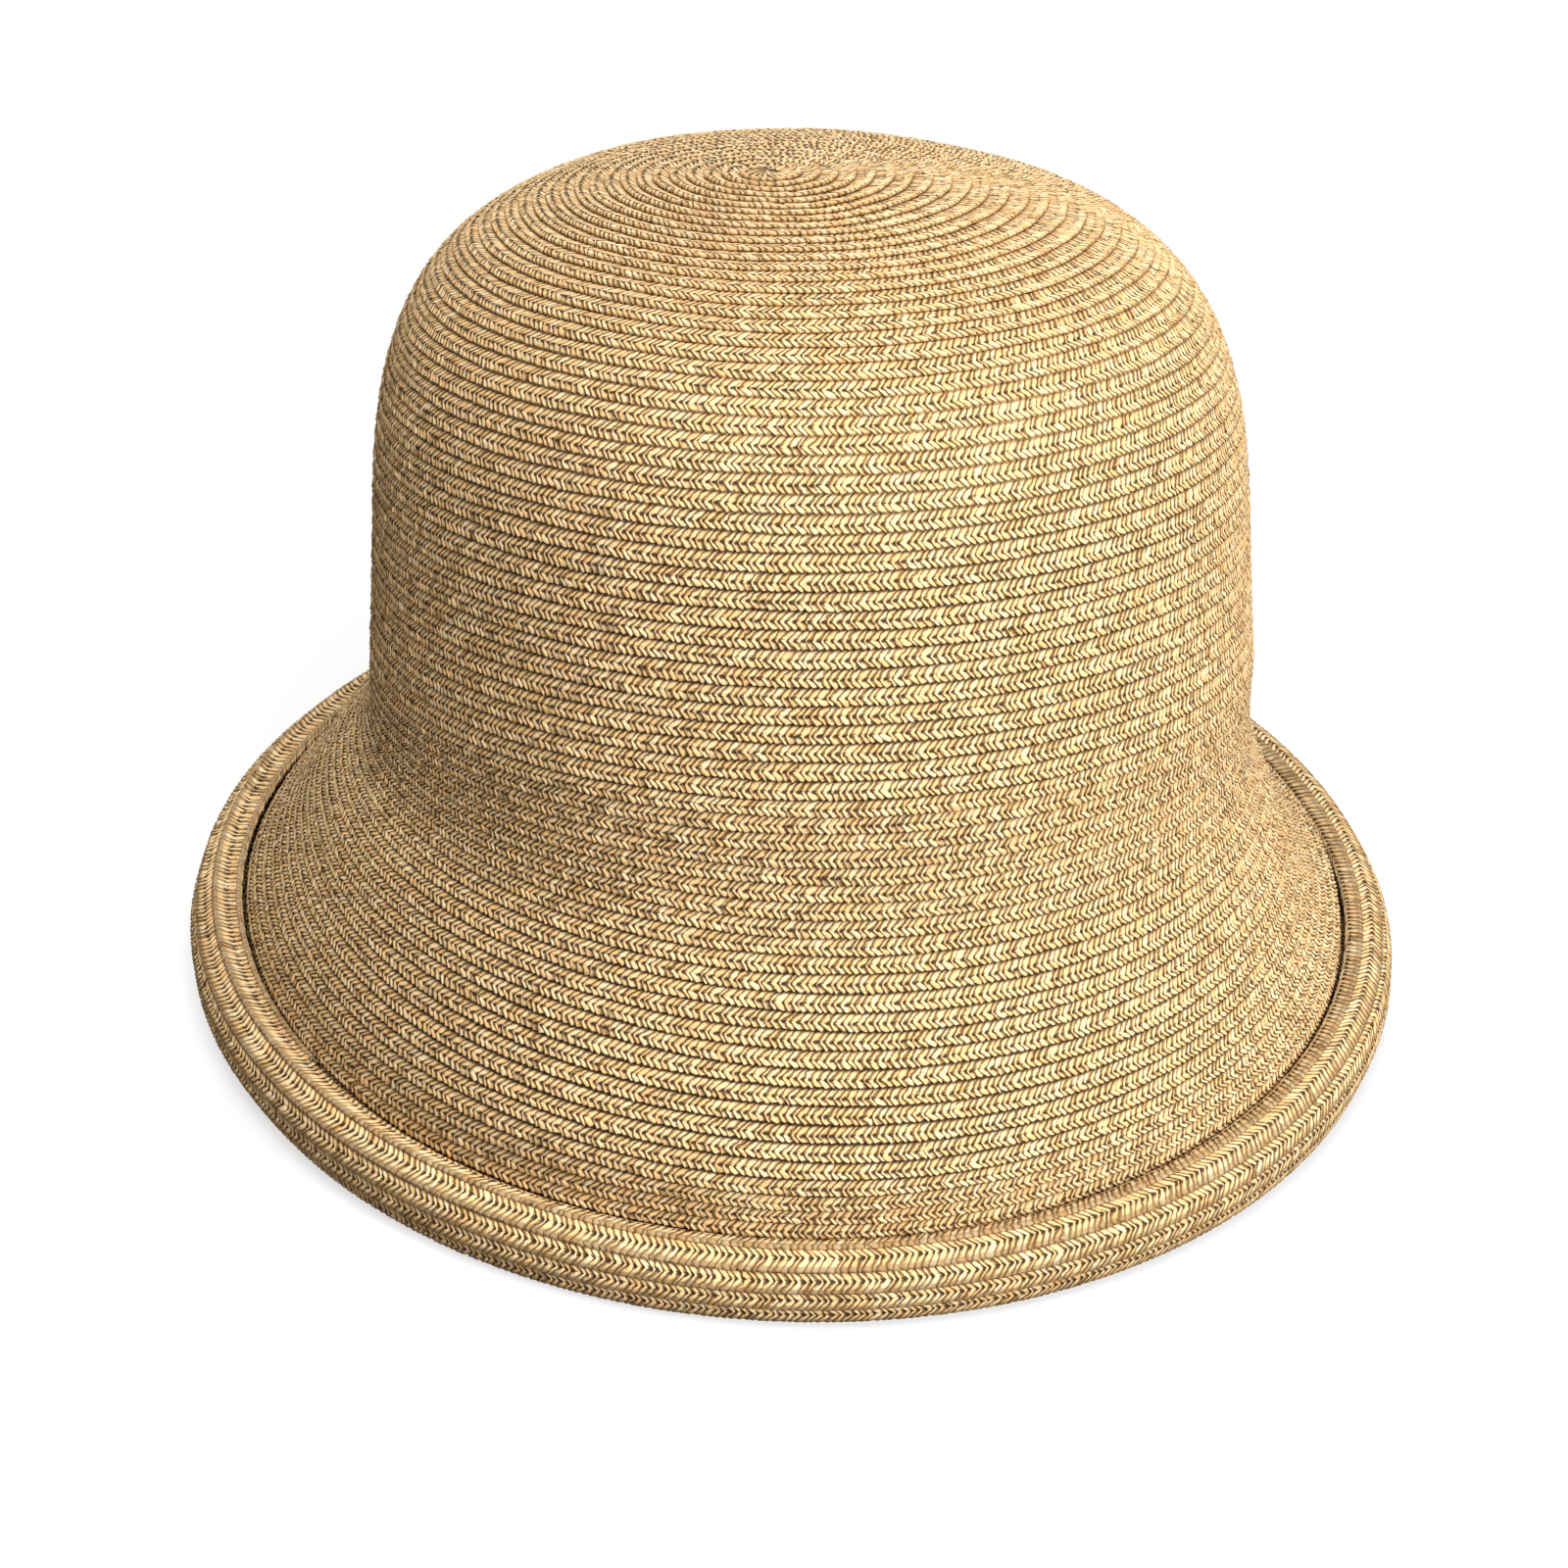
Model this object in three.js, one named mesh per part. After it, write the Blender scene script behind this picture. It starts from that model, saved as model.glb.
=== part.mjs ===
// Straw bucket hat: a straw plait sewn round and round into a domed crown, a falling brim and a rolled edge.
// Millimetres and degrees, +Z up. The origin is on the floor under the middle of the rim; -Y is the front.

import * as THREE from 'three';

// Crown, measured on its outside and along its own axis
const crownWidth = 184.8;
const crownDepth = 193.2;
const crownRise = 101.9;
const crownNarrowing = 0.039;
const domeFlatness = 4.9;
const domeRoundness = 2.85;

// How the crown sits on the brim: a little forward, leaning back and to the left, its tip further left.
// The back of its foot stands out a little more than the front, so that the back wall comes down upright, and
// the back of the brim below it hangs a little lower than a plain lean would carry it.
const crownLean = 14;
const crownSway = -2.8;
const crownShift = 1.5;
const crownForward = 4;
const tipShift = -2.3;
const backFullness = 9.1;
const backSag = 6.3;

// Brim and rim, measured over the rolled edge
const brimFall = 73.8;
const rimWidth = 260.4;
const rimDepth = 259.7;

// Rolled edge: turned up round the valley, curled inward and pressed flat where it rests. The share at rest
// is of the way across the roll's inner line.
const rollAtSides = 12.15;
const rollAtFront = 10.25;
const valleyWidth = rimWidth - 2 * rollAtSides;
const valleyDepth = rimDepth - 2 * rollAtFront;
const rollHeight = 18;
const restShare = 0.4;
const curlPastTop = 34;

// Straw wall, and the sewn laps where one piece lies over the next
const wall = 2.2;
const lapLength = 3.5;
const lapGap = 0.3;

// Facets, and the small steps of a station in which the wall's directions and lengths are measured
const turnSteps = 48;
const crownSteps = 18;
const brimSteps = 9;
const quarterSteps = 4;
const outlineSteps = 400;
const nudge = 0.002;
const stride = 0.004;

// Sections of the brim from the crown's foot to the valley inside the roll. Each length is a share: fall of
// brimFall, spread of the way from the crown's size to the valley's, lean and sway of the crown's own angles,
// forward of crownForward, fullness of backFullness and sag of backSag.
const brimSections = [
  { fall: 0.0, spread: 0.0, lean: 1.0, sway: 1.0, forward: 1.0, fullness: 1.0, sag: 0.0 },
  { fall: 0.243, spread: 0.067, lean: 0.54, sway: 0.2, forward: 0.88, fullness: 0.84, sag: 0.9 },
  { fall: 0.475, spread: 0.369, lean: 0.32, sway: -0.34, forward: 0.98, fullness: 0.5, sag: 0.85 },
  { fall: 0.727, spread: 0.746, lean: 0.08, sway: -0.28, forward: 1.25, fullness: 0.18, sag: 0.35 },
  { fall: 0.88, spread: 0.998, lean: 0.0, sway: 0.0, forward: -0.09, fullness: 0.03, sag: 0.06 },
  { fall: 1.0, spread: 1.0, lean: 0.0, sway: 0.0, forward: -0.11, fullness: 0.0, sag: 0.0 },
];

// Slopes of the columns at both ends: the brim leaves the crown straight on and enters the valley upright.
const crownSlopes = { fall: 0.2, spread: 0, lean: -0.2, sway: -0.3, forward: 0, fullness: 0, sag: 0.3 };
const valleySlopes = { fall: 0.16, spread: 0, lean: 0, sway: 0, forward: 0, fullness: 0, sag: 0 };

const rollMiddle = rollHeight / 2;
const crownFootHeight = rollMiddle + brimFall;
const valleyForward = crownForward * brimSections[brimSections.length - 1].forward;
const tongue = (wall - lapGap) / 2;
const leanAngle = THREE.MathUtils.degToRad(crownLean);
const swayAngle = THREE.MathUtils.degToRad(crownSway);
const crownAxis = new THREE.Vector3(Math.sin(swayAngle), Math.sin(leanAngle), Math.cos(leanAngle));
crownAxis.normalize();

// The crown's outline from tip to foot: half width across, rise upward, on a rounded curve with a flat top.
function crownOutline() {
  const points = [];
  for (let step = 0; step <= outlineSteps; step += 1) {
    const rise = Math.cos((step / outlineSteps) * Math.PI / 2);
    const spread = (1 - crownNarrowing * rise) * (1 - rise ** domeFlatness) ** (1 / domeRoundness);
    points.push(new THREE.Vector2((crownWidth / 2) * spread, crownRise * rise));
  }
  return new THREE.Path(points);
}

const crownPath = crownOutline();

// One section of the crown, share 0 at the tip and 1 at the foot, evenly spaced along the outline.
function crownSection(share) {
  const point = crownPath.getPoint(share);
  const rise = point.y / crownRise;
  return {
    x: crownShift + Math.sin(swayAngle) * point.y + tipShift * rise ** 3,
    y: Math.sin(leanAngle) * point.y - crownForward,
    z: crownFootHeight + Math.cos(leanAngle) * point.y,
    halfWidth: point.x,
    halfDepth: point.x * (crownDepth / crownWidth),
    fullness: backFullness * THREE.MathUtils.smoothstep(1 - rise, 0, 1),
    sag: 0,
    lean: leanAngle,
    sway: swayAngle,
  };
}

// Slope of a column of the brim's table at one of its rows.
function slopeAt(row, column) {
  if (row === 0) {
    return crownSlopes[column];
  }
  if (row === brimSections.length - 1) {
    return valleySlopes[column];
  }
  return (brimSections[row + 1][column] - brimSections[row - 1][column]) / 2;
}

// A column of the brim's table read between its rows on a smooth curve.
function brimColumn(column, share) {
  const place = share * (brimSections.length - 1);
  const row = Math.min(Math.floor(place), brimSections.length - 2);
  const t = place - row;
  const start = brimSections[row][column];
  const end = brimSections[row + 1][column];
  const rising = t * t * (3 - 2 * t);
  const startSlope = slopeAt(row, column) * t * (1 - t) * (1 - t);
  const endSlope = slopeAt(row + 1, column) * t * t * (1 - t);
  return start + (end - start) * rising + startSlope - endSlope;
}

// One section of the brim, share 0 at the crown's foot and 1 in the valley inside the roll.
function brimSection(share) {
  const spread = brimColumn('spread', share);
  return {
    x: crownShift * (1 - share),
    y: -crownForward * brimColumn('forward', share),
    z: crownFootHeight - brimFall * brimColumn('fall', share),
    halfWidth: THREE.MathUtils.lerp(crownWidth, valleyWidth, spread) / 2,
    halfDepth: THREE.MathUtils.lerp(crownDepth, valleyDepth, spread) / 2,
    fullness: backFullness * brimColumn('fullness', share),
    sag: backSag * brimColumn('sag', share),
    lean: leanAngle * brimColumn('lean', share),
    sway: swayAngle * brimColumn('sway', share),
  };
}

// A point on a section's oval, which leans about X, sways about Y and is fuller and lower in its back half.
function ovalPoint(section, turn) {
  const across = section.halfWidth * Math.cos(turn);
  const backward = Math.max(Math.sin(turn), 0) ** 2;
  const along = section.halfDepth * Math.sin(turn) + section.fullness * backward;
  return new THREE.Vector3(
    section.x + across,
    section.y + along * Math.cos(section.lean),
    section.z - along * Math.sin(section.lean) - across * Math.sin(section.sway) - section.sag * backward,
  );
}

// Stations run from 0 at the tip through 1 at the crown's foot to 2 in the valley inside the roll.
function sectionAt(station) {
  return station < 1 ? crownSection(station) : brimSection(station - 1);
}

function wallPoint(station, turn) {
  return ovalPoint(sectionAt(THREE.MathUtils.clamp(station, 0, 2)), turn);
}

// The station a length further down the wall at one turn, or further up where the length is negative.
function stationAlong(station, length, turn) {
  const way = stride * Math.sign(length);
  let here = station;
  let left = Math.abs(length);
  while (left > 0) {
    const step = wallPoint(here, turn).distanceTo(wallPoint(here + way, turn));
    here += way * Math.min(1, left / step);
    left -= step;
  }
  return here;
}

// A ring of points at one depth below the face that shows, square to the wall and a length along it.
function wallRing(station, depth, along = 0) {
  const ring = [];
  for (let step = 0; step < turnSteps; step += 1) {
    const turn = (step / turnSteps) * 2 * Math.PI;
    const here = along === 0 ? station : stationAlong(station, along, turn);
    const down = wallPoint(here + nudge, turn).sub(wallPoint(here - nudge, turn));
    const round = wallPoint(here, turn + nudge).sub(wallPoint(here, turn - nudge));
    ring.push(wallPoint(here, turn).addScaledVector(down.cross(round).normalize(), -depth));
  }
  return ring;
}

// The roll's section: how far across from the valley to the rim and how high, for a place along the curl. It
// goes down a quarter oval, over a flat, up a half oval and past the top to the free edge.
const rollQuarter = (1 - restShare) / 2;
const rollReach = 1 / 2;
const rollDrop = rollMiddle - wall;
const curlAngle = THREE.MathUtils.degToRad(curlPastTop);

function rollStations() {
  const stations = [];
  for (let step = 0; step <= quarterSteps; step += 1) {
    const angle = (step / quarterSteps) * Math.PI / 2;
    stations.push({ centre: rollQuarter, reach: rollQuarter, angle: Math.PI + angle });
  }
  for (let step = 0; step <= quarterSteps; step += 1) {
    const angle = (step / quarterSteps) * Math.PI / 2;
    stations.push({ centre: rollQuarter + restShare, reach: rollQuarter, angle: 1.5 * Math.PI + angle });
  }
  const overSteps = 2 * quarterSteps;
  for (let step = 1; step <= overSteps; step += 1) {
    const angle = (step / overSteps) * (Math.PI / 2 + curlAngle);
    stations.push({ centre: rollReach, reach: rollReach, angle });
  }
  return stations;
}

// A flat ring of the roll at one station and one depth of its wall.
function rollRing(station, depth) {
  const share = station.centre + station.reach * Math.cos(station.angle);
  const outward = depth * Math.cos(station.angle);
  const section = {
    x: 0,
    y: -valleyForward * (1 - share),
    z: rollMiddle + (rollDrop + depth) * Math.sin(station.angle),
    halfWidth: THREE.MathUtils.lerp(valleyWidth / 2, rimWidth / 2 - wall, share) + outward,
    halfDepth: THREE.MathUtils.lerp(valleyDepth / 2, rimDepth / 2 - wall, share) + outward,
    fullness: 0,
    sag: 0,
    lean: 0,
    sway: 0,
  };
  const ring = [];
  for (let step = 0; step < turnSteps; step += 1) {
    ring.push(ovalPoint(section, (step / turnSteps) * 2 * Math.PI));
  }
  return ring;
}

// A closed body from a loop of rings. With poles, one point on the axis closes each end.
function shell(rings, poles) {
  const positions = [];
  const triangles = [];
  rings.forEach((ring) => ring.forEach((point) => positions.push(point.x, point.y, point.z)));
  const bands = poles ? rings.length - 1 : rings.length;
  for (let band = 0; band < bands; band += 1) {
    const here = band * turnSteps;
    const next = ((band + 1) % rings.length) * turnSteps;
    for (let step = 0; step < turnSteps; step += 1) {
      const beside = (step + 1) % turnSteps;
      triangles.push(here + step, next + step, next + beside);
      triangles.push(here + step, next + beside, here + beside);
    }
  }
  if (poles) {
    const top = rings.length * turnSteps;
    const underside = top + 1;
    const last = (rings.length - 1) * turnSteps;
    poles.forEach((point) => positions.push(point.x, point.y, point.z));
    for (let step = 0; step < turnSteps; step += 1) {
      const beside = (step + 1) % turnSteps;
      triangles.push(top, step, beside);
      triangles.push(underside, last + beside, last + step);
    }
  }
  const geometry = new THREE.BufferGeometry();
  geometry.setAttribute('position', new THREE.Float32BufferAttribute(positions, 3));
  geometry.setIndex(triangles);
  geometry.computeVertexNormals();
  return geometry;
}

// Crown: dome and sides, with an outer tongue at its foot that lies over the brim.
function makeCrown() {
  const rings = [];
  const wallSteps = crownSteps - 1;
  for (let step = 1; step <= wallSteps; step += 1) {
    rings.push(wallRing(step / crownSteps, 0));
  }
  rings.push(wallRing(1, 0));
  rings.push(wallRing(1, tongue));
  rings.push(wallRing(1, tongue, -lapLength));
  rings.push(wallRing(1, wall, -lapLength));
  for (let step = wallSteps; step >= 1; step -= 1) {
    rings.push(wallRing(step / crownSteps, wall));
  }
  const tip = wallPoint(0, 0);
  const underTip = tip.clone().addScaledVector(crownAxis, -wall);
  return shell(rings, [tip, underTip]);
}

// Brim: the flare, with an inner tongue under the crown and an outer tongue over the rolled edge.
function makeBrim() {
  const rings = [];
  rings.push(wallRing(1, 0, lapGap));
  for (let step = 1; step <= brimSteps; step += 1) {
    rings.push(wallRing(1 + step / brimSteps, 0));
  }
  rings.push(wallRing(2, tongue));
  rings.push(wallRing(2, tongue, -lapLength));
  rings.push(wallRing(2, wall, -lapLength));
  for (let step = brimSteps - 1; step >= 1; step -= 1) {
    rings.push(wallRing(1 + step / brimSteps, wall));
  }
  rings.push(wallRing(1, wall));
  rings.push(wallRing(1, wall, lapGap - lapLength));
  rings.push(wallRing(1, tongue + lapGap, lapGap - lapLength));
  rings.push(wallRing(1, tongue + lapGap, lapGap));
  return shell(rings);
}

// Rolled edge: an inner tongue behind the brim's foot, then the curl out to the free edge.
function makeRolledEdge() {
  const stations = rollStations();
  const clear = { ...stations[0], angle: stations[0].angle + lapGap / rollDrop };
  const curl = stations.slice(1);
  const rings = [wallRing(2, tongue + lapGap, lapGap - lapLength)];
  rings.push(rollRing(clear, tongue + lapGap));
  rings.push(rollRing(clear, 0));
  curl.forEach((station) => rings.push(rollRing(station, 0)));
  curl.reverse().forEach((station) => rings.push(rollRing(station, wall)));
  rings.push(rollRing(stations[0], wall));
  rings.push(wallRing(2, wall, lapGap - lapLength));
  return shell(rings);
}

// A named piece in straw of one tone.
function piece(name, geometry, colour, roughness) {
  const material = new THREE.MeshStandardMaterial({ color: colour, roughness, metalness: 0 });
  const mesh = new THREE.Mesh(geometry, material);
  mesh.name = name;
  return mesh;
}

const hat = new THREE.Group();
hat.add(piece('crown', makeCrown(), 0xcfae76, 0.72));
hat.add(piece('brim', makeBrim(), 0xccaa70, 0.72));
hat.add(piece('rolled_edge', makeRolledEdge(), 0xc9a76c, 0.7));

export default hat;
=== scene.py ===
"""Straw bucket hat: one flat straw plait, sewn round and round from the tip of the crown to its rolled edge.

Everything is in metres, +Z up, with the origin on the floor under the middle of the rim and -Y at the front.
"""

import logging
import math
from dataclasses import dataclass, field
from enum import Enum
from typing import Any

import bpy
import numpy as np
from mathutils import Matrix, Vector


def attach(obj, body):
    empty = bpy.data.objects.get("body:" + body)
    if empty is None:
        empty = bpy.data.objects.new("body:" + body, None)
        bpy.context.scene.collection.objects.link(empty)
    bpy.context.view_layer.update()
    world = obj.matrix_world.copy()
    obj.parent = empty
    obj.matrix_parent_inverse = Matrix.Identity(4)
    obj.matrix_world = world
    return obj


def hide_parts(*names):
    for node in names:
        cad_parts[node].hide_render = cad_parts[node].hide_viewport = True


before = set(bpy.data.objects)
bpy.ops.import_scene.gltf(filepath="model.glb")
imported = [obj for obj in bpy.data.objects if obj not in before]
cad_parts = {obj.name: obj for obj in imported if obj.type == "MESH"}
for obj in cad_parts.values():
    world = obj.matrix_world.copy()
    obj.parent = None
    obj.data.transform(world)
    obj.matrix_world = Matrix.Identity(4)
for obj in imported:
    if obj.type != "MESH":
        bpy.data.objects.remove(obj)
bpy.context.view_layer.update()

LOG = logging.getLogger("straw_hat")
MM = 0.001
TURN = 2 * math.pi
FOOT, VALLEY, FREE_EDGE = 1.0, 2.0, 3.0


def smooth_step(low: float, high: float, value: np.ndarray) -> np.ndarray:
    """Rises smoothly from 0 at low to 1 at high, as t * t * (3 - 2 * t)."""
    t = np.clip((value - low) / (high - low), 0.0, 1.0)
    return t * t * (3 - 2 * t)


@dataclass
class Sections:
    """Sections of the hat's wall, one for each station: a centre, half sizes, swelling and tilt."""

    x: np.ndarray
    y: np.ndarray
    z: np.ndarray
    half_width: np.ndarray
    half_depth: np.ndarray
    fullness: np.ndarray
    sag: np.ndarray
    lean: np.ndarray
    sway: np.ndarray


@dataclass
class HatForm:
    """The outer face of the straw wall. Stations run from 0 at the tip through FOOT at the crown's foot
    and VALLEY inside the roll to FREE_EDGE."""

    crown_width: float = 184.8 * MM
    crown_depth: float = 193.2 * MM
    crown_rise: float = 101.9 * MM
    crown_narrowing: float = 0.039
    dome_flatness: float = 4.9
    dome_roundness: float = 2.85
    crown_lean: float = math.radians(14)
    crown_sway: float = math.radians(-2.8)
    crown_shift: float = 1.5 * MM
    crown_forward: float = 4 * MM
    tip_shift: float = -2.3 * MM
    tip_sharpness: int = 3
    swirl_shift: float = -6.5 * MM
    swirl_back: float = 1.5 * MM
    swirl_sharpness: int = 16
    back_fullness: float = 9.1 * MM
    back_sag: float = 6.3 * MM
    brim_fall: float = 73.8 * MM
    rim_width: float = 260.4 * MM
    rim_depth: float = 259.7 * MM
    roll_at_sides: float = 12.15 * MM
    roll_at_front: float = 10.25 * MM
    roll_height: float = 18 * MM
    rest_share: float = 0.4
    curl_past_top: float = math.radians(34)
    wall: float = 2.2 * MM
    tuck: float = 1.1 * MM
    tuck_turn: float = math.radians(-95)
    tuck_start: float = 2.75
    tuck_reach: tuple[float, float] = (-0.2, 0.8)
    outline_steps: int = 401
    arc_steps: int = 40
    brim_rows: dict[str, tuple[float, ...]] = field(default_factory=lambda: {
        "fall": (0.0, 0.243, 0.475, 0.727, 0.88, 1.0),
        "spread": (0.0, 0.067, 0.369, 0.746, 0.998, 1.0),
        "lean": (1.0, 0.54, 0.32, 0.08, 0.0, 0.0),
        "sway": (1.0, 0.2, -0.34, -0.28, 0.0, 0.0),
        "forward": (1.0, 0.88, 0.98, 1.25, -0.09, -0.11),
        "fullness": (1.0, 0.84, 0.5, 0.18, 0.03, 0.0),
        "sag": (0.0, 0.9, 0.85, 0.35, 0.06, 0.0),
    })
    crown_slopes: dict[str, float] = field(default_factory=lambda: {
        "fall": 0.2, "lean": -0.2, "sway": -0.3, "sag": 0.3,
    })
    valley_slopes: dict[str, float] = field(default_factory=lambda: {"fall": 0.16})

    def __post_init__(self) -> None:
        """Works out the tables of the crown's outline and of the roll's section, spaced by their lengths."""
        rise = np.cos(np.linspace(0, math.pi / 2, self.outline_steps))
        spread = (1 - self.crown_narrowing * rise) * np.maximum(1 - rise ** self.dome_flatness, 0) ** (
            1 / self.dome_roundness)
        self.outline = np.stack([self.crown_width / 2 * spread, self.crown_rise * rise], axis=-1)
        self.outline_share = self.even_shares(self.outline)
        self.valley_width = self.rim_width - 2 * self.roll_at_sides
        self.valley_depth = self.rim_depth - 2 * self.roll_at_front
        self.roll = self.roll_profile()
        across = self.roll_at_sides - self.wall
        self.roll_share = self.even_shares(self.roll * np.array([across, 1.0]))
        self.foot_height = self.roll_height / 2 + self.brim_fall

    @staticmethod
    def even_shares(points: np.ndarray) -> np.ndarray:
        """The share of a polyline's length at each of its points."""
        lengths = np.concatenate([[0.0], np.cumsum(np.linalg.norm(np.diff(points, axis=0), axis=-1))])
        return lengths / lengths[-1]

    def roll_profile(self) -> np.ndarray:
        """The roll's inner line: down a quarter oval, over a flat, up a half oval and past the top.

        Returns:
            Points with their share of the way from the valley to the rim and their height.
        """
        quarter = (1 - self.rest_share) / 2
        reach = 0.5
        middle = self.roll_height / 2
        drop = middle - self.wall
        down = np.linspace(math.pi, 1.5 * math.pi, self.arc_steps)
        up = np.linspace(1.5 * math.pi, TURN, self.arc_steps)
        over = np.linspace(0, math.pi / 2 + self.curl_past_top, 2 * self.arc_steps)[1:]
        share = np.concatenate([quarter + quarter * np.cos(down),
                                quarter + self.rest_share + quarter * np.cos(up),
                                reach + reach * np.cos(over)])
        height = middle + drop * np.concatenate([np.sin(down), np.sin(up), np.sin(over)])
        return np.stack([share, height], axis=-1)

    def brim_column(self, column: str, share: np.ndarray) -> np.ndarray:
        """A column of the brim's table read between its rows on a cubic with the neighbours' mean slope.

        Args:
            column: the column's name.
            share: places from 0 at the crown's foot to 1 in the valley.

        Returns:
            The column's value at each place.
        """
        values = np.array(self.brim_rows[column])
        slopes = np.concatenate([[self.crown_slopes.get(column, 0.0)], (values[2:] - values[:-2]) / 2,
                                 [self.valley_slopes.get(column, 0.0)]])
        place = np.clip(share, 0, 1) * (len(values) - 1)
        row = np.minimum(place.astype(int), len(values) - 2)
        t = place - row
        start, end = values[row], values[row + 1]
        return (start + (end - start) * t * t * (3 - 2 * t) + slopes[row] * t * (1 - t) ** 2
                - slopes[row + 1] * t * t * (1 - t))

    def sections(self, station: np.ndarray) -> Sections:
        """The wall's sections: a superellipse dome, then the brim's table, then the roll's flat rings.

        Args:
            station: places from 0 to FREE_EDGE.

        Returns:
            One section for each place.
        """
        crown = np.clip(station, 0, FOOT)
        half = np.interp(crown, self.outline_share, self.outline[:, 0])
        up = np.interp(crown, self.outline_share, self.outline[:, 1])
        rise = up / self.crown_rise
        tip, swirl = rise ** self.tip_sharpness, rise ** self.swirl_sharpness
        brim = np.clip(station - FOOT, 0, 1)
        spread = self.brim_column("spread", brim)
        curl = np.clip(station - VALLEY, 0, 1)
        over = np.interp(curl, self.roll_share, self.roll[:, 0])
        height = np.interp(curl, self.roll_share, self.roll[:, 1])
        on_crown, on_brim = station < FOOT, station < VALLEY

        def choose(of_crown: Any, of_brim: Any, of_roll: Any) -> np.ndarray:
            """Takes each station's value from the part of the wall that it lies on."""
            return np.where(on_crown, of_crown, np.where(on_brim, of_brim, of_roll))

        valley = np.array([self.valley_width, self.valley_depth]) / 2
        foot = np.array([self.crown_width, self.crown_depth]) / 2
        rim = np.array([self.rim_width, self.rim_depth]) / 2 - self.wall
        setback = self.crown_forward * self.brim_column("forward", brim)
        return Sections(
            x=choose(self.crown_shift + math.sin(self.crown_sway) * up + self.tip_shift * tip
                     + self.swirl_shift * swirl,
                     self.crown_shift * (1 - brim), 0.0),
            y=choose(math.sin(self.crown_lean) * up - self.crown_forward
                     + math.cos(self.crown_lean) * self.swirl_back * swirl,
                     -setback, -setback * (1 - over)),
            z=choose(self.foot_height + math.cos(self.crown_lean) * up
                     - math.sin(self.crown_lean) * self.swirl_back * swirl,
                     self.foot_height - self.brim_fall * self.brim_column("fall", brim), height),
            half_width=choose(half, foot[0] + (valley[0] - foot[0]) * spread,
                              valley[0] + (rim[0] - valley[0]) * over),
            half_depth=choose(half * foot[1] / foot[0], foot[1] + (valley[1] - foot[1]) * spread,
                              valley[1] + (rim[1] - valley[1]) * over),
            fullness=self.back_fullness * choose(smooth_step(0, 1, 1 - rise),
                                                 self.brim_column("fullness", brim), 0.0),
            sag=self.back_sag * choose(0.0, self.brim_column("sag", brim), 0.0),
            lean=self.crown_lean * choose(1.0, self.brim_column("lean", brim), 0.0),
            sway=self.crown_sway * choose(1.0, self.brim_column("sway", brim), 0.0),
        )

    def point(self, station: np.ndarray, turn: np.ndarray) -> np.ndarray:
        """Points of the outer face: an oval at each station, leaning about X, swaying about Y, fuller and
        lower in its back half by the square of the sine of the turn. The free edge is tucked in towards the
        brim at the front.

        Args:
            station: places down the wall.
            turn: angles round it, counter-clockwise from +X.

        Returns:
            Points as an array with a last axis of three.
        """
        part = self.sections(station)
        tucked = (self.tuck * smooth_step(self.tuck_start, FREE_EDGE, station)
                  * smooth_step(*self.tuck_reach, np.cos(turn - self.tuck_turn)))
        across = (part.half_width - tucked) * np.cos(turn)
        backward = np.maximum(np.sin(turn), 0) ** 2
        along = (part.half_depth - tucked) * np.sin(turn) + part.fullness * backward
        return np.stack([
            part.x + across,
            part.y + along * np.cos(part.lean),
            part.z - along * np.sin(part.lean) - across * np.sin(part.sway) - part.sag * backward,
        ], axis=-1)

    def normal(self, station: np.ndarray, turn: np.ndarray) -> np.ndarray:
        """Outward directions: the way down the wall crossed with the way round it."""
        step = 0.004
        here = np.clip(station, 2 * step, FREE_EDGE - step)
        down = self.point(here + step, turn) - self.point(here - step, turn)
        sideways = self.point(here, turn + step) - self.point(here, turn - step)
        out = np.cross(down, sideways)
        return out / np.linalg.norm(out, axis=-1, keepdims=True)


@dataclass
class RowPlan:
    """How the sewn rows lie on the wall: evenly down the front, and evenly down the shorter back."""

    form: HatForm
    row_pitch: float = 3.83 * MM
    samples: int = 3001

    def __post_init__(self) -> None:
        """Measures the front and back meridians and numbers the rows along them."""
        self.stations = np.linspace(0, FREE_EDGE, self.samples)
        front = self.meridian(-math.pi / 2)
        back = self.meridian(math.pi / 2)
        self.front_rows = front / self.row_pitch
        valley = round((self.samples - 1) * VALLEY / FREE_EDGE)
        self.back_rows = np.where(self.stations < VALLEY, back * (self.front_rows[valley] / back[valley]),
                                  self.front_rows[valley] + (front - front[valley]) / self.row_pitch)
        self.total = float(self.front_rows[-1])

    def meridian(self, turn: float) -> np.ndarray:
        """The length down the wall from the tip to each sampled station at one turn."""
        points = self.form.point(self.stations, np.full(self.samples, turn))
        return np.concatenate([[0.0], np.cumsum(np.linalg.norm(np.diff(points, axis=0), axis=-1))])

    def rows_to(self, station: float) -> float:
        """How many rows lie between the tip and a station at the front."""
        return float(np.interp(station, self.stations, self.front_rows))

    def station(self, rows: np.ndarray, turn: np.ndarray) -> np.ndarray:
        """The station of a row number, blended from the front's spacing to the back's behind the sides.

        Args:
            rows: row numbers counted from the tip, with fractions.
            turn: angles round the hat.

        Returns:
            Stations from 0 to FREE_EDGE.
        """
        rows = np.clip(rows, 0, self.total)
        front = np.interp(rows, self.front_rows, self.stations)
        back = np.interp(rows, self.back_rows, self.stations)
        share = smooth_step(0.0, 1.0, np.sin(turn))
        return front + (back - front) * share


class Side(Enum):
    """Which face of the plait a piece shows outward: its front, or its back where it is turned over."""

    FRONT = 1
    BACK = -1


@dataclass(frozen=True)
class Line:
    """A line along the plait: its place across the row, its depth and its share of the strands' relief."""

    across: float
    depth: float
    relief: float


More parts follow.
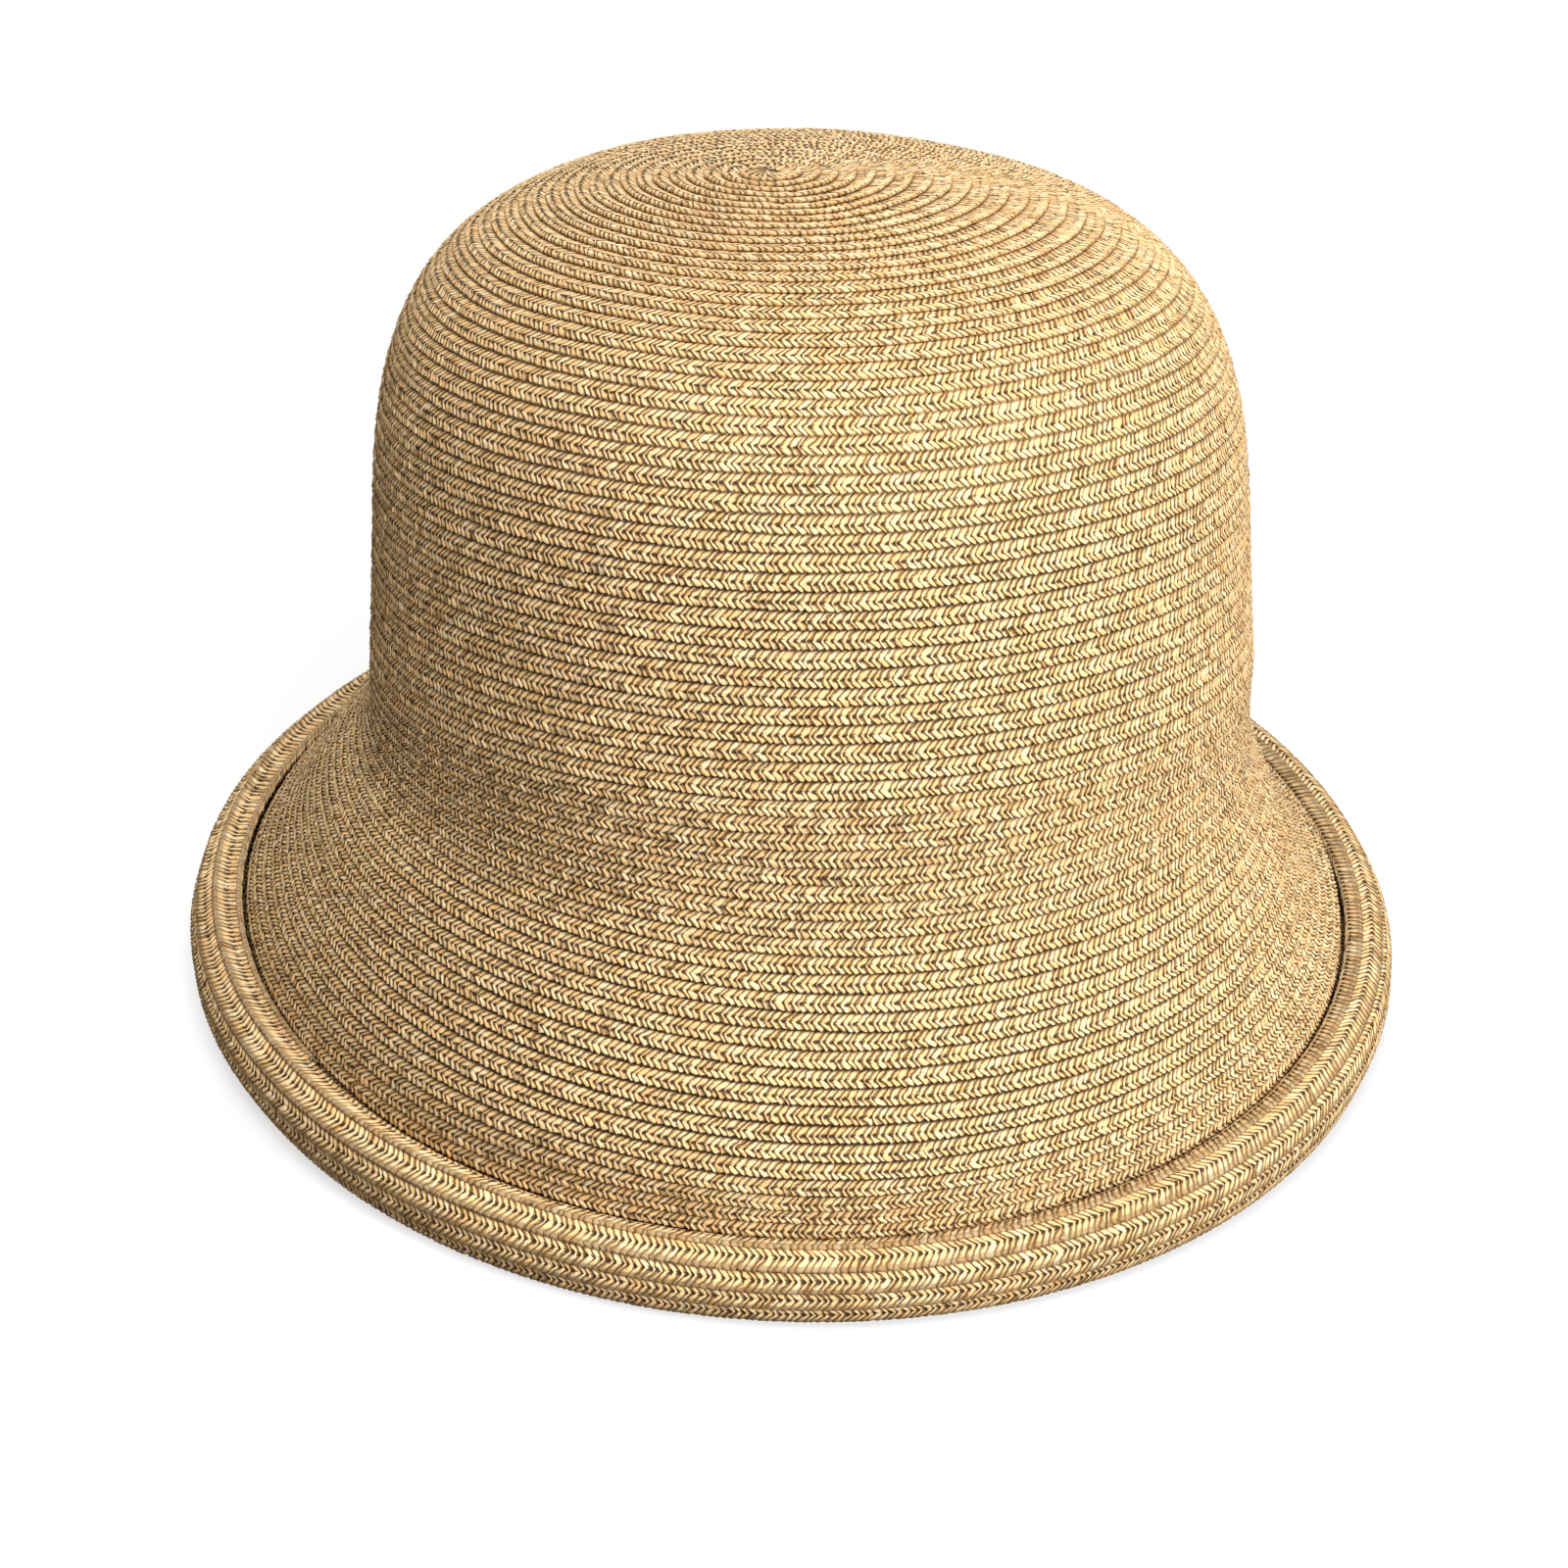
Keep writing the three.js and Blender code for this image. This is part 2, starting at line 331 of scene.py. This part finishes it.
FRONT_LINES = (
    Line(-0.22, 1.28 * MM, 0.0), Line(0.05, 1.05 * MM, 0.8), Line(0.53, 0.46 * MM, 0.9),
    Line(0.92, 0.16 * MM, 1.1), Line(1.02, 0.5 * MM, 0.6), Line(0.96, 1.0 * MM, 0.0),
    Line(-0.15, 2.0 * MM, 0.5),
)
BACK_LINES = (
    Line(-0.18, 1.32 * MM, 0.0), Line(0.93, 0.3 * MM, 0.4), Line(1.02, 0.6 * MM, 0.4),
    Line(0.98, 1.1 * MM, 0.0), Line(0.90, 1.2 * MM, -0.8), Line(0.42, 1.62 * MM, -0.8),
    Line(-0.06, 2.08 * MM, -1.1), Line(-0.2, 1.75 * MM, -0.6),
)
# How many faces round the section, from its first line on, wear the front's finish.
FRONT_FACES = {Side.FRONT: 5, Side.BACK: 3}
# Each wave's turns round the hat, its turns down the rows and its start.
ROW_WAVES = ((5, 0.9, 0.0), (11, -1.7, 1.0), (17, 2.9, 2.0))
WALL_WAVES = ((3, 0.11, 0.4), (7, -0.23, 2.2), (2, 0.5, 4.0))


@dataclass
class StrawPlait:
    """The flat herringbone plait, laid in one spiral with each row's lower edge proud over the next row."""

    form: HatForm
    plan: RowPlan
    strand_pitch: float = 1.45 * MM
    front_slant: float = 2.05
    back_slant: float = 2.6
    front_spine: float = 0.58
    back_spine: float = 0.42
    relief: float = 0.13 * MM
    scallop: float = 0.045
    strand_noise: float = 0.06 * MM
    place_noise: float = 0.15
    slant_noise: float = 0.4
    most_noise: float = 0.21
    row_wave: float = 0.05
    wall_wave: float = 0.3 * MM
    calm_at_tip: tuple[float, float] = (1.0, 6.0)
    calm_at_edge: tuple[float, float] = (9.0, 4.0)
    highest: float = 0.15 * MM
    clear_of_inside: float = 0.05 * MM
    turn_step: float = 0.01
    spare_draws: int = 64
    seed: int = 11

    def __post_init__(self) -> None:
        """Measures the spiral's length and draws the strands' small irregularities."""
        self.turns = np.arange(0, self.plan.total * TURN, self.turn_step)
        middle = self.place(self.turns, np.full(self.turns.shape, 0.5))[2]
        steps = np.linalg.norm(np.diff(middle, axis=0), axis=-1)
        self.lengths = np.concatenate([[0.0], np.cumsum(steps)])
        self.strands = int(self.lengths[-1] / self.strand_pitch)
        source = np.random.default_rng(self.seed)
        self.noise = source.normal(0.0, 1.0, (2 * self.strands + self.spare_draws, 4))

    @staticmethod
    def waves(parts: tuple[tuple[float, float, float], ...], rows: np.ndarray,
              turn: np.ndarray) -> np.ndarray:
        """Slow unevenness: the mean of the sines of around * turn + down * rows + start.

        Args:
            parts: each wave's around, down and start.
            rows: row numbers.
            turn: angles round the hat.

        Returns:
            The mean of the waves, about -1 to 1.
        """
        return sum(np.sin(around * turn + down * rows + start) for around, down, start in parts) / len(parts)

    def place(self, turn: np.ndarray, across: np.ndarray) -> tuple[np.ndarray, np.ndarray, np.ndarray]:
        """Where a place on the plait lies: its row number grows by one each turn, plus its place across.

        Args:
            turn: angles along the spiral from its start at the tip.
            across: places across the row, 0 at the edge nearer the tip and 1 at the other.

        Returns:
            The row numbers, the stations and the points on the wall's outer face.
        """
        rows = turn / TURN + across
        shift, lift = self.waves(ROW_WAVES, rows, turn), self.waves(WALL_WAVES, rows, turn)
        first, last = (self.plan.total - left for left in self.calm_at_edge)
        fade = smooth_step(*self.calm_at_tip, rows) * (1 - smooth_step(first, last, rows))
        station = self.plan.station(rows + self.row_wave * shift * fade, turn)
        round_turn = np.mod(turn, TURN)
        points = self.form.point(station, round_turn)
        points = points + self.form.normal(station, round_turn) * (self.wall_wave * lift * fade)[..., None]
        return rows, station, points

    def column_at(self, rows: float) -> int:
        """The column of the plait that lies nearest a row number."""
        length = np.interp(rows * TURN, self.turns, self.lengths)
        return int(round(2 * min(length / self.strand_pitch, self.strands)))

    def run(self, first_row: float, last_row: float, side: Side) -> tuple[np.ndarray, np.ndarray]:
        """A run of the plait as a grid of columns along it and lines round its section.

        Two columns go to each strand, one on its crest and one in its groove. A column slants away from the
        spine on both sides, so the strands make arrow heads along the row.

        Args:
            first_row: where the run starts, in rows from the tip.
            last_row: where it ends.
            side: the face that shows outward.

        Returns:
            The points of the grid and, for each, its place along the plait in strands and across the row.
        """
        lines = FRONT_LINES if side is Side.FRONT else BACK_LINES
        spine = self.front_spine if side is Side.FRONT else self.back_spine
        slant = self.front_slant if side is Side.FRONT else -self.back_slant
        column = np.arange(self.column_at(first_row), self.column_at(last_row) + 1)
        crest = np.where(column % 2 == 0, 1.0, -1.0)[:, None]
        drawn = self.noise[column]
        across = np.broadcast_to(np.array([line.across for line in lines]), (len(column), len(lines)))
        depth = np.array([line.depth for line in lines])[None, :]
        share = np.array([line.relief for line in lines])[None, :]
        strand = column[:, None] / 2 + slant * np.abs(across - spine)
        stray = self.place_noise * drawn[:, 2:3] + self.slant_noise * drawn[:, 3:] * (across - spine)
        stray = np.clip(stray, -self.most_noise, self.most_noise)
        turn = np.interp((strand + stray) * self.strand_pitch, self.lengths, self.turns)
        edge = self.scallop * np.maximum(share, 0) * (crest + 0.5 * drawn[:, 1:2])
        wide = across + np.where(across > 0.9, edge, np.where(across < -0.1, -edge, 0.0))
        gathered = (turn / TURN + wide) * (1 - smooth_step(0.8, 1.15, turn / TURN))
        wide = np.where(across < 0.1, wide - gathered, wide)
        rows, station, points = self.place(turn, wide)
        outer = (across < 0.5) & (depth < self.form.wall / 1.5)
        depth = depth * np.where(outer, smooth_step(-0.1, 0.9, rows), 1.0)
        lift = share * (self.relief * crest + self.strand_noise * drawn[:, :1]) - depth
        lift = np.clip(lift, self.clear_of_inside - self.form.wall, self.highest)
        normal = self.form.normal(station, np.mod(turn, TURN))
        shown = np.maximum(across, 0.3 * (1 - smooth_step(0.4, 1.0, rows)))
        return points + normal * lift[..., None], np.stack([strand, shown], axis=-1)


class Signal:
    """A number that changes over a surface, carried by a socket, with arithmetic that adds Math nodes."""

    def __init__(self, graph: "Graph", socket: bpy.types.NodeSocket) -> None:
        """Keeps the graph and the socket that carries the number."""
        self.graph = graph
        self.socket = socket

    def maths(self, operation: str, *terms: "Signal | float") -> "Signal":
        """A Math node of one operation on these terms."""
        node = self.graph.node("ShaderNodeMath", {"operation": operation}, dict(enumerate(terms)))
        return Signal(self.graph, node.outputs[0])

    def __add__(self, other: "Signal | float") -> "Signal":
        """Adds."""
        return self.maths("ADD", self, other)

    __radd__ = __add__

    def __sub__(self, other: "Signal | float") -> "Signal":
        """Subtracts."""
        return self.maths("SUBTRACT", self, other)

    def __rsub__(self, other: "Signal | float") -> "Signal":
        """Subtracts from a number."""
        return self.maths("SUBTRACT", other, self)

    def __mul__(self, other: "Signal | float") -> "Signal":
        """Multiplies."""
        return self.maths("MULTIPLY", self, other)

    __rmul__ = __mul__

    def __abs__(self) -> "Signal":
        """Drops the sign."""
        return self.maths("ABSOLUTE", self)

    def most(self, other: "Signal | float") -> "Signal":
        """The greater of two numbers."""
        return self.maths("MAXIMUM", self, other)

    def floor(self) -> "Signal":
        """The whole number below."""
        return self.maths("FLOOR", self)

    def over(self, limit: float) -> "Signal":
        """One where the number is over a limit, and nought elsewhere."""
        return self.maths("GREATER_THAN", self, limit)

    def smooth(self, low: float, high: float) -> "Signal":
        """Rises smoothly from 0 where the number is low to 1 where it is high."""
        node = self.graph.node("ShaderNodeMapRange", {"interpolation_type": "SMOOTHSTEP"},
                               {"Value": self, "From Min": low, "From Max": high})
        return Signal(self.graph, node.outputs[0])


class Graph:
    """The nodes of one material."""

    def __init__(self, name: str) -> None:
        """Makes the material and finds its main shader."""
        self.material = bpy.data.materials.new(name)
        self.material.use_nodes = True
        self.tree = self.material.node_tree
        self.shader = next(node for node in self.tree.nodes if node.type == "BSDF_PRINCIPLED")

    def connect(self, socket: bpy.types.NodeSocket, value: Any) -> None:
        """Sets a socket to a value, or links it to a signal or another socket."""
        if isinstance(value, Signal):
            value = value.socket
        if isinstance(value, bpy.types.NodeSocket):
            self.tree.links.new(value, socket)
        else:
            socket.default_value = value

    def node(self, kind: str, settings: dict[str, Any], inputs: dict[Any, Any]) -> bpy.types.Node:
        """Adds a node.

        Args:
            kind: the node's type.
            settings: its own properties, set first.
            inputs: values or links for its sockets, by name or number.

        Returns:
            The node.
        """
        node = self.tree.nodes.new(kind)
        for name, value in settings.items():
            setattr(node, name, value)
        for name, value in inputs.items():
            self.connect(node.inputs[name], value)
        return node

    def ramp(self, factor: Signal, stops: tuple[tuple[float, tuple[float, float, float]], ...]) -> Any:
        """A colour read from a ramp of stops by a number from 0 to 1."""
        node = self.node("ShaderNodeValToRGB", {}, {0: factor})
        band = node.color_ramp
        while len(band.elements) < len(stops):
            band.elements.new(0.5)
        for element, (place, colour) in zip(band.elements, stops):
            element.position = place
            element.color = (*colour, 1.0)
        return node.outputs[0]

    def blend(self, factor: Signal, first: Any, second: Any, kind: str = "MIX") -> Any:
        """Mixes two colours by a number, each a socket or a colour of three numbers."""
        node = self.node("ShaderNodeMix", {"data_type": "RGBA", "blend_type": kind}, {0: factor})
        for place, colour in ((6, first), (7, second)):
            self.connect(node.inputs[place], (*colour, 1.0) if isinstance(colour, tuple) else colour)
        return node.outputs[2]

    def point(self, x: Any, y: Any, z: Any = 0.0) -> Any:
        """A vector from three numbers."""
        return self.node("ShaderNodeCombineXYZ", {}, {0: x, 1: y, 2: z}).outputs[0]


@dataclass(frozen=True)
class StrawFinish:
    """Flat paper straw plaited in a herringbone: pale, tan and orange-tan strands, with painted shade in the
    grooves, holes and gaps, under each row's lap and along its lower edge, and a painted highlight on each
    strand's crest.
    """

    name: str
    spine: float
    slant: float
    # How strong the painted shade is under each row's lap and along its lower edge.
    lap_shade: float = 0.9
    edge_shade: float = 1.0
    tones: tuple[tuple[float, tuple[float, float, float]], ...] = (
        (0.0, (0.46, 0.23, 0.075)), (0.22, (0.68, 0.375, 0.138)), (0.55, (0.82, 0.515, 0.225)),
        (0.85, (0.89, 0.625, 0.32)), (1.0, (0.92, 0.695, 0.41)),
    )
    # Near-black colour of the painted shade in the grooves, holes and gaps, under each row's lap and along
    # each row's lower edge.
    gap_shade_colour: tuple[float, float, float] = (0.026, 0.012, 0.004)
    roughness: float = 0.6
    specular: float = 0.25
    relief: float = 0.4 * MM
    waviness: float = 0.5
    strand_share: float = 0.48
    fibre_share: float = 0.5
    patch_share: float = 0.12
    # Share of the painted highlight along each strand's crest, which leaves painted shade towards its
    # borders.
    crest_highlight_share: float = 0.42
    least_tone: float = 0.38
    # Heights over which the painted shade weakens towards the crown's tip, and below which the painted shade
    # line along each row's lower edge widens.
    tip_heights: tuple[float, float] = (0.14, 0.185)
    low_heights: tuple[float, float] = (0.03, 0.07)
    # Where each painted shade lies: by the spine, under the lap, at each row's lower edge and in the grooves
    # between strands.
    spine_reach: tuple[float, float] = (0.05, 0.2)
    spine_groove: tuple[float, float] = (0.25, 0.65)
    lap_reach: tuple[float, float] = (0.06, 0.26)
    lap_groove: tuple[float, float] = (0.1, 0.6)
    lap_line_reach: tuple[float, float] = (0.06, 0.18)
    edge_reach: tuple[float, float] = (0.80, 0.95)
    edge_groove: tuple[float, float] = (0.35, 0.8)
    edge_line_reach: tuple[float, float] = (0.92, 0.965)
    strand_groove: tuple[float, float] = (0.45, 0.95)
    spine_flat: tuple[float, float] = (0.0, 0.14)

    def material(self) -> bpy.types.Material:
        """Draws the strands from the plait's own map, which holds the place along it and across the row.

        Returns:
            The material.
        """
        graph = Graph(self.name)
        map_node = graph.node("ShaderNodeUVMap", {"uv_map": "plait"}, {})
        parts = graph.node("ShaderNodeSeparateXYZ", {}, {0: map_node.outputs[0]})
        along, across = Signal(graph, parts.outputs[0]), Signal(graph, parts.outputs[1])
        from_spine = abs(across - self.spine)
        wobble = Signal(graph, graph.node("ShaderNodeTexNoise", {"noise_dimensions": "2D"}, {
            "Vector": graph.point(along * 0.9, across * 2.6), "Scale": 1.0, "Detail": 1.0}).outputs[0])
        strand = along - from_spine * self.slant + 0.5 + (wobble - 0.5) * self.waviness
        number = strand.floor()
        offset = strand - number - 0.5
        limb = across.over(self.spine)
        drawn = graph.node("ShaderNodeTexWhiteNoise", {"noise_dimensions": "2D"},
                           {"Vector": graph.point(number, limb)})
        tone = Signal(graph, drawn.outputs["Value"])
        split = graph.node("ShaderNodeSeparateXYZ", {}, {0: drawn.outputs["Color"]})
        spread = Signal(graph, split.outputs[1])
        groove = abs(offset) * 2.0 + (spread - 0.5) * 0.3
        fibre = graph.node("ShaderNodeTexNoise", {"noise_dimensions": "3D"}, {
            "Vector": graph.point(offset * 7.0, across * 2.6, number * 1.7 + limb * 0.5),
            "Scale": 1.0, "Detail": 3.0})
        fibres = Signal(graph, fibre.outputs[0])
        patch = graph.node("ShaderNodeTexNoise", {"noise_dimensions": "2D"}, {
            "Vector": graph.point(along * 0.2, across * 0.6), "Scale": 1.0, "Detail": 2.0})
        patches = Signal(graph, patch.outputs[0])
        crest = 1.0 - groove * groove
        # The crest term is a painted highlight: it lightens each strand's middle and leaves its borders
        # darker, a painted shading of the strand's rounding.
        mixed = ((tone - 0.5) * self.strand_share + (fibres - 0.5) * self.fibre_share
                 + (patches - 0.5) * self.patch_share + crest * self.crest_highlight_share + self.least_tone)
        colour = graph.ramp(mixed, self.tones)
        # Painted shade in the holes beside the spine, where the strands fold.
        spine_hole_shade = (1.0 - from_spine.smooth(*self.spine_reach)) * groove.smooth(*self.spine_groove)
        # shade weakens the painted shade under the laps and along the row edges towards the crown's tip; low
        # widens the painted shade line along the lowest rows' edges.
        height = Signal(graph, graph.node("ShaderNodeSeparateXYZ", {}, {
            0: graph.node("ShaderNodeTexCoord", {}, {}).outputs["Object"]}).outputs[2])
        shade = 1.0 - height.smooth(*self.tip_heights) * 0.65
        low = 1.0 - height.smooth(*self.low_heights)
        # Painted shade under the proud lower edge of the row above: in the grooves there and as a dark line
        # along the lap.
        lap_gap_shade = ((1.0 - across.smooth(*self.lap_reach)) * groove.smooth(*self.lap_groove)
                    * shade * self.lap_shade)
        lap_shade_line = (1.0 - across.smooth(*self.lap_line_reach)) * shade * self.lap_shade
        # Painted shade in the gaps between strand ends and as a dark line along each row's lower edge, wider
        # on the lowest rows.
        edge_gap_shade = across.smooth(*self.edge_reach) * groove.smooth(*self.edge_groove) * shade
        edge_shade_line = (across + low * 0.04).smooth(*self.edge_line_reach) * shade * self.edge_shade
        # Painted shade in the grooves between strands.
        line = groove.smooth(*self.strand_groove) * 0.7
        # All the painted shade together, blended towards the near-black shade colour; it also lowers the
        # bump's height.
        painted_shade = spine_hole_shade.most(lap_gap_shade).most(edge_gap_shade * 0.85).most(line).most(lap_shade_line).most(edge_shade_line)
        graph.connect(graph.shader.inputs["Base Color"], graph.blend(painted_shade * 0.95, colour, self.gap_shade_colour))
        relief = crest * (0.55 + 0.45 * from_spine.smooth(*self.spine_flat)) + fibres * 0.2 - painted_shade * 0.4
        bump = graph.node("ShaderNodeBump", {}, {"Strength": 1.0, "Distance": self.relief, "Height": relief})
        graph.connect(graph.shader.inputs["Normal"], bump.outputs[0])
        graph.shader.inputs["Roughness"].default_value = self.roughness
        graph.shader.inputs["Specular IOR Level"].default_value = self.specular
        return graph.material


@dataclass(frozen=True)
class PaleFloor:
    """Plain pale studio floor."""

    colour: tuple[float, float, float] = (0.3, 0.3, 0.3)
    glow: float = 0.66

    def material(self) -> bpy.types.Material:
        """A matt pale surface with an even glow of its own."""
        graph = Graph("pale_floor")
        graph.shader.inputs["Base Color"].default_value = (*self.colour, 1.0)
        graph.shader.inputs["Roughness"].default_value = 0.9
        graph.shader.inputs["Specular IOR Level"].default_value = 0.0
        graph.shader.inputs["Emission Color"].default_value = (1.0, 1.0, 1.0, 1.0)
        graph.shader.inputs["Emission Strength"].default_value = self.glow
        return graph.material


@dataclass
class PlaitPiece:
    """One piece of the hat: a run of the plait over some of its rows."""

    name: str
    node: str
    slot: str
    first_row: float
    last_row: float
    side: Side = Side.FRONT
    open_start: bool = True
    open_end: bool = True

    def build(self, plait: StrawPlait, finishes: dict[Side, bpy.types.Material]) -> bpy.types.Object:
        """Makes the run's mesh, closed round its section, and dresses its front and back faces.

        Args:
            plait: the plait that the run is cut from.
            finishes: the materials of its two faces.

        Returns:
            The finished object.
        """
        points, places = plait.run(self.first_row, self.last_row, self.side)
        columns, lines = points.shape[:2]
        index = np.arange(columns * lines).reshape(columns, lines)
        beside = np.roll(index, -1, axis=1)
        quads = np.stack([index[:-1], beside[:-1], beside[1:], index[1:]], axis=-1).reshape(-1, 4)
        mesh = bpy.data.meshes.new(self.name)
        faces = quads.tolist()
        if not self.open_start:
            faces.append(index[0, ::-1].tolist())
        if not self.open_end:
            faces.append(index[-1].tolist())
        mesh.from_pydata(points.reshape(-1, 3).tolist(), [], faces)
        mesh.materials.append(finishes[Side.FRONT])
        mesh.materials.append(finishes[Side.BACK])
        slots = np.zeros(len(mesh.polygons), dtype=np.int32)
        slots[:len(quads)] = np.tile(np.arange(lines) >= FRONT_FACES[self.side], columns - 1)
        mesh.polygons.foreach_set("material_index", slots)
        corners = np.empty(len(mesh.loops), dtype=np.int32)
        mesh.loops.foreach_get("vertex_index", corners)
        layer = mesh.uv_layers.new(name="plait")
        layer.data.foreach_set("uv", places.reshape(-1, 2)[corners].astype(np.float32).ravel())
        mesh.shade_smooth()
        mesh.update()
        piece = bpy.data.objects.new(self.name, mesh)
        bpy.context.collection.objects.link(piece)
        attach(piece, "root")
        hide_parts(self.node)
        LOG.info("%s: %d triangles", self.name, sum(len(face) - 2 for face in faces))
        return piece


@dataclass
class StrawHat:
    """The whole hat, cut into runs of the plait between its crown, brim and rolled edge."""

    form: HatForm = field(default_factory=HatForm)
    shoulder_share: float = 0.44

    def build(self) -> list[bpy.types.Object]:
        """Builds every piece from the tip down.

        Returns:
            The pieces.
        """
        plan = RowPlan(self.form)
        plait = StrawPlait(self.form, plan)
        foot, valley = plan.rows_to(FOOT), plan.rows_to(VALLEY)
        shoulder = self.shoulder_share * foot
        waist = (shoulder + foot) / 2
        brim_middle = (foot + valley) / 2
        LOG.info("rows: %.1f to the crown's foot, %.1f to the valley, %.1f in all", foot, valley, plan.total)
        finishes = {
            Side.FRONT: StrawFinish("straw_plait", plait.front_spine, plait.front_slant).material(),
            Side.BACK: StrawFinish("straw_plait_back", plait.back_spine, -plait.back_slant, lap_shade=0.55,
                                   edge_shade=0.7).material(),
        }
        pieces = [
            PlaitPiece("crown_dome", "crown", "crown_straw", 0.0, shoulder, open_start=False),
            PlaitPiece("crown_shoulder", "crown", "crown_straw", shoulder, waist),
            PlaitPiece("crown_side", "crown", "crown_straw", waist, foot),
            PlaitPiece("brim_flare", "brim", "brim_straw", foot, brim_middle),
            PlaitPiece("brim_skirt", "brim", "brim_straw", brim_middle, valley),
            PlaitPiece("rolled_rim", "rolled_edge", "edge_straw", valley, plan.total - 0.02, Side.BACK,
                       open_end=False),
        ]
        return [piece.build(plait, finishes) for piece in pieces]


@dataclass(frozen=True)
class SoftBox:
    """A wide soft studio lamp that shines at the hat."""

    name: str
    place: tuple[float, float, float]
    size: float
    power: float

    def build(self, target: Vector) -> None:
        """Adds the lamp, turned to the target."""
        lamp = bpy.data.lights.new(self.name, "AREA")
        lamp.shape = "DISK"
        lamp.size = self.size
        lamp.energy = self.power
        holder = bpy.data.objects.new(self.name, lamp)
        place = Vector(self.place)
        holder.location = place
        holder.rotation_euler = (target - place).to_track_quat("-Z", "Y").to_euler()
        bpy.context.collection.objects.link(holder)


@dataclass(frozen=True)
class Studio:
    """Pale floor, even sky, soft lamps and the camera. The floor sends no light back onto the hat."""

    distance: float = 1.3
    elevation: float = math.radians(34.39)
    roll: float = math.radians(2.54)
    target: tuple[float, float, float] = (-0.00311, -0.00369, 0.04714)
    lens: float = 140.11
    sensor: float = 36.0
    far_clip: float = 100.0
    sky: float = 0.17
    sky_colour: tuple[float, float, float] = (1.0, 0.86, 0.72)
    floor_size: float = 30.0
    lamps: tuple[SoftBox, ...] = (
        SoftBox("key", (1.85, -1.5, 0.85), 1.0, 65.0),
        SoftBox("top", (-0.05, -0.75, 2.3), 1.6, 60.0),
        SoftBox("fill", (-0.2, -1.9, 0.4), 1.0, 8.0),
        SoftBox("rear", (-0.3, 2.3, 1.2), 1.6, 26.0),
    )

    def build(self) -> None:
        """Adds the floor, the sky, the lamps and the camera."""
        half = self.floor_size / 2
        mesh = bpy.data.meshes.new("floor")
        corners = np.array([(-1, -1), (1, -1), (1, 1), (-1, 1)]) * half
        mesh.from_pydata(np.column_stack([corners, np.zeros(4)]).tolist(), [], [(0, 1, 2, 3)])
        mesh.materials.append(PaleFloor().material())
        floor = bpy.data.objects.new("floor", mesh)
        floor.visible_diffuse = False
        floor.visible_glossy = False
        bpy.context.collection.objects.link(floor)
        scene = bpy.context.scene
        world = bpy.data.worlds.new("sky")
        world.use_nodes = True
        back = next(node for node in world.node_tree.nodes if node.type == "BACKGROUND")
        back.inputs["Color"].default_value = (*self.sky_colour, 1.0)
        back.inputs["Strength"].default_value = self.sky
        scene.world = world
        scene.view_settings.view_transform = "Standard"
        target = Vector(self.target)
        for lamp in self.lamps:
            lamp.build(target)
        lens = bpy.data.cameras.new("camera")
        lens.lens = self.lens
        lens.sensor_width = self.sensor
        lens.clip_end = self.far_clip
        camera = bpy.data.objects.new("camera", lens)
        way = Vector((0.0, -math.cos(self.elevation), math.sin(self.elevation)))
        camera.location = target + way * self.distance
        facing = (-way).to_track_quat("-Z", "Y").to_matrix() @ Matrix.Rotation(self.roll, 3, "Z")
        camera.rotation_euler = facing.to_euler()
        bpy.context.collection.objects.link(camera)
        scene.camera = camera


def main() -> None:
    """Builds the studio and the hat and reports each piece."""
    logging.basicConfig(level=logging.INFO, format="%(message)s")
    Studio().build()
    pieces = StrawHat().build()
    LOG.info("%d pieces", len(pieces))


if __name__ == "__main__":
    main()
